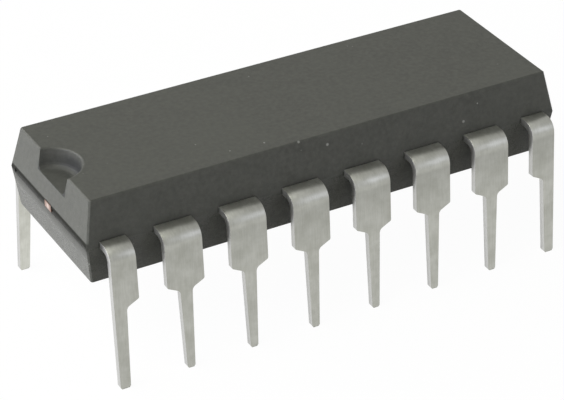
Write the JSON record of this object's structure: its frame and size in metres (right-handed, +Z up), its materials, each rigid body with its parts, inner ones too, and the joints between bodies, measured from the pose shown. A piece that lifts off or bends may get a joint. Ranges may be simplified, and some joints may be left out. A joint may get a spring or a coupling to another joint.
{
  "type": "dual in-line integrated circuit",
  "caption": "Plastic dual in-line integrated circuit: drafted dark body with a half-round notch at one end, on two rows of bent, shouldered metal leads.",
  "frame": {"origin": "midway between the two rows of leads, at the level of the lead tips", "axes": "+X along the package away from the notched end, +Y towards the back row (leads 9 to 16), +Z up out of the top face"},
  "size_m": [0.0192, 0.0088, 0.007],
  "materials": {
    "moulded_epoxy": "dark grey moulded epoxy with a fine spark-eroded grain",
    "tinned_copper": "satin tin plating on stamped copper alloy",
    "bare_copper": "bare copper alloy, as stamped",
    "silver_adhesive": "cured silver-filled adhesive",
    "silicon": "polished silicon",
    "gold_wire": "bright gold"
  },
  "bodies": {
    "root": {"package_body": "moulded_epoxy", "lead_01": "tinned_copper", "lead_02": "tinned_copper", "lead_03": "tinned_copper", "lead_04": "tinned_copper", "lead_05": "tinned_copper", "lead_06": "tinned_copper", "lead_07": "tinned_copper", "lead_08": "tinned_copper", "lead_09": "tinned_copper", "lead_10": "tinned_copper", "lead_11": "tinned_copper", "lead_12": "tinned_copper", "lead_13": "tinned_copper", "lead_14": "tinned_copper", "lead_15": "tinned_copper", "lead_16": "tinned_copper", "die_paddle": "bare_copper", "die_attach": "silver_adhesive", "silicon_die": "silicon", "bond_wire_01": "gold_wire", "bond_wire_02": "gold_wire", "bond_wire_03": "gold_wire", "bond_wire_04": "gold_wire", "bond_wire_05": "gold_wire", "bond_wire_06": "gold_wire", "bond_wire_07": "gold_wire", "bond_wire_08": "gold_wire", "bond_wire_09": "gold_wire", "bond_wire_10": "gold_wire", "bond_wire_11": "gold_wire", "bond_wire_12": "gold_wire", "bond_wire_13": "gold_wire", "bond_wire_14": "gold_wire", "bond_wire_15": "gold_wire", "bond_wire_16": "gold_wire"}
  },
  "joints": []
}
